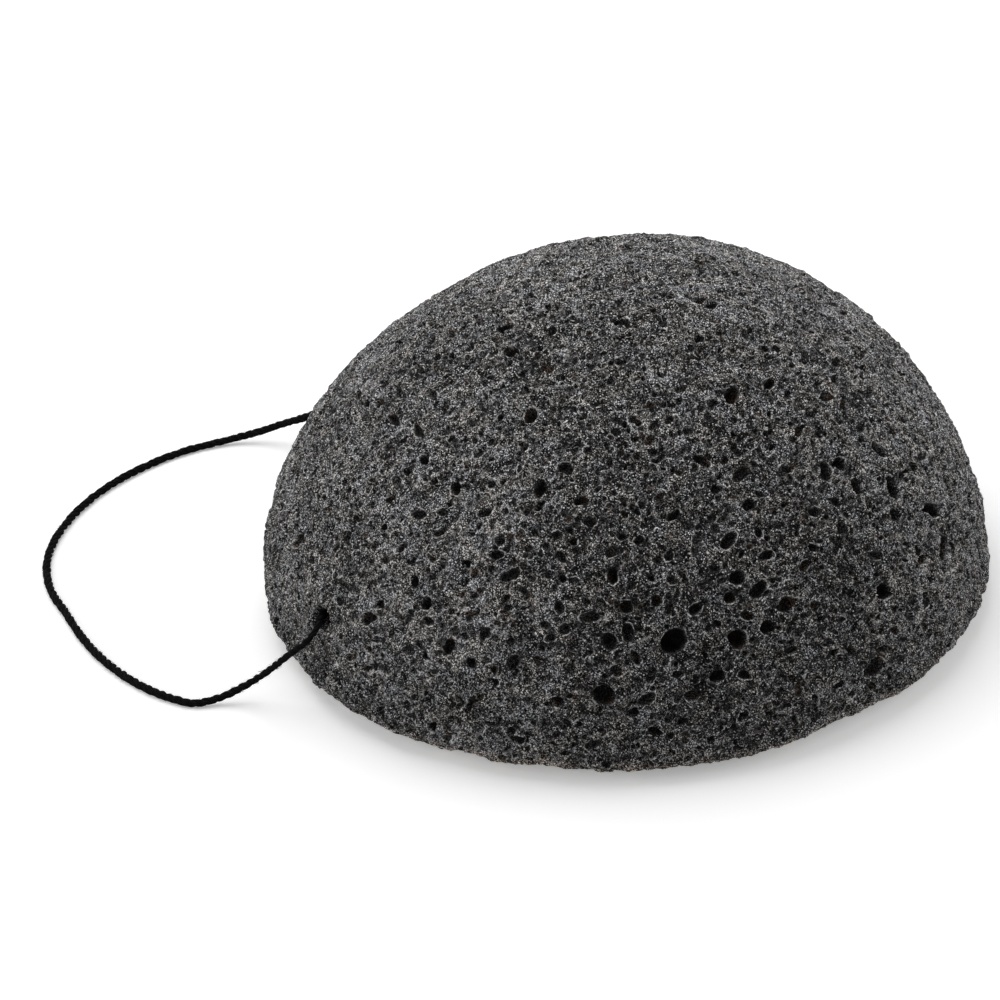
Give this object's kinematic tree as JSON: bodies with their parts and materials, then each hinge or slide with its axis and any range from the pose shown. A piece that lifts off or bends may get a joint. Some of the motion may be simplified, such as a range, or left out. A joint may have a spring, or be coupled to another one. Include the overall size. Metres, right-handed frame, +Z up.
{
  "type": "konjac sponge",
  "caption": "Half-ball open-cell face sponge with a flat base, threaded near one side on a thin cord that is knotted into a hanging loop.",
  "frame": {"origin": "middle of the flat base, on the surface that the sponge stands on", "axes": "+Z is up out of the flat base through the top of the dome; -X is the side where the hanging loop lies; -Y is the side with the mouth of the needle track that shows in the picture"},
  "size_m": [0.1064, 0.0857, 0.0382],
  "materials": {
    "foam": "dry open-cell konjac foam tinted charcoal grey, matt, with fine pale threads and some large pores",
    "cord": "black twisted cotton cord of three plies, slightly fuzzy"
  },
  "bodies": {
    "sponge": {"sponge_body": "foam"},
    "hanging_loop": {"cord_core": "cord", "cord_loop": "cord", "cord_knot": "cord", "cord_tails": "cord"}
  },
  "joints": [
    {"name": "loop_swing", "type": "hinge", "parent": "sponge", "child": "hanging_loop", "pos_m": [-0.02783, 0.00592, 0.0102], "axis": [0.2079, 0.9781, 0], "range_deg": [-30, 110]}
  ]
}
